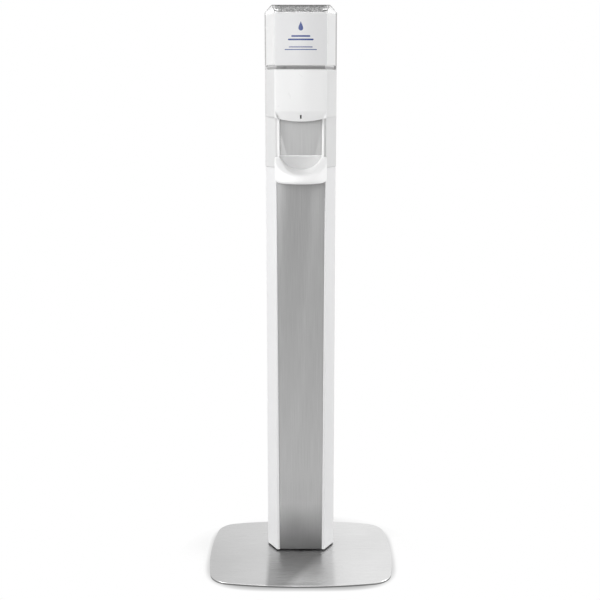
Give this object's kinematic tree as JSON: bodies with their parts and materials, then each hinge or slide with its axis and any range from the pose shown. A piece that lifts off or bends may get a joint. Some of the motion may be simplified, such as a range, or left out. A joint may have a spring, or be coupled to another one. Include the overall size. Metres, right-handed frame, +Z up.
{
  "type": "hand sanitizer floor stand",
  "caption": "Free-standing hand sanitizer stand: brushed steel base, white column with brushed panel, touch-free dispenser with clear refill, drip tray.",
  "frame": {"origin": "on the floor under the centre of the base plate", "axes": "+Z up, -Y towards the person who uses it, +X to their right"},
  "size_m": [0.4218, 0.3338, 1.252],
  "materials": {
    "brushed_plate": "brushed",
    "brushed_panel": "brushed",
    "white_column": "satin white",
    "white_plastic": "gloss white",
    "clear_plastic": "clear gloss",
    "clear_gel": "clear",
    "dark_plastic": "gloss",
    "grey_plastic": "moulded",
    "spine_steel": "painted",
    "zinc_steel": "zinc plated",
    "pad_rubber": "matt",
    "board_green": "solder mask",
    "cell_case": "printed film"
  },
  "bodies": {
    "root": {"base_plate": "brushed_plate", "foot_pads": "pad_rubber", "base_bolts": "zinc_steel", "spine": "spine_steel", "column_shell": "white_column", "column_screws": "zinc_steel", "front_panel": "brushed_panel", "upper_housing": "white_plastic", "housing_screws": "zinc_steel", "dispenser_body": "white_plastic", "body_screws": "zinc_steel", "hinge_pins": "zinc_steel", "refill_bottle": "clear_plastic", "gel_fill": "clear_gel", "refill_collar": "white_plastic", "guide_rods": "zinc_steel", "mechanism_frame": "grey_plastic", "frame_screws": "zinc_steel", "drive_motor": "zinc_steel", "gear_axle": "zinc_steel", "battery_holder": "grey_plastic", "battery_cells": "cell_case", "circuit_board": "board_green", "sensor_window": "dark_plastic", "tray_frame": "white_plastic", "tray_screws": "zinc_steel", "drip_tray": "white_plastic"},
    "cover": {"front_cover": "white_plastic", "led_lens": "dark_plastic"},
    "latch": {"release_latch": "grey_plastic"},
    "pump": {"pump_piston": "white_plastic", "pump_actuator": "grey_plastic"},
    "gear": {"drive_gear": "white_plastic"},
    "pinion": {"motor_pinion": "grey_plastic"}
  },
  "joints": [
    {"name": "cover_hinge", "type": "hinge", "parent": "root", "child": "cover", "pos_m": [0, -0.014, 1.021], "axis": [1, 0, 0], "range_deg": [0, 75]},
    {"name": "latch_slide", "type": "slide", "parent": "root", "child": "latch", "axis": [0, 1, 0], "range_m": [0, 0.004], "stiffness_N_per_m": 300, "springref_m": -0.001},
    {"name": "pump_lift", "type": "slide", "parent": "root", "child": "pump", "axis": [0, 0, 1], "range_m": [0, 0.008]},
    {"name": "gear_turn", "type": "hinge", "parent": "root", "child": "gear", "pos_m": [-0.0322, 0, 1.052], "axis": [0, 1, 0], "range_deg": [-77.39, 1]},
    {"name": "pinion_turn", "type": "hinge", "parent": "root", "child": "pinion", "pos_m": [-0.04436, 0, 1.06813], "axis": [0, 1, 0], "range_deg": [-1, 306.58]}
  ],
  "couplings": [
    {"joint": "gear_turn", "follows": "pump_lift", "rad_per_m": -166.67},
    {"joint": "pinion_turn", "follows": "pump_lift", "rad_per_m": 666.67}
  ]
}
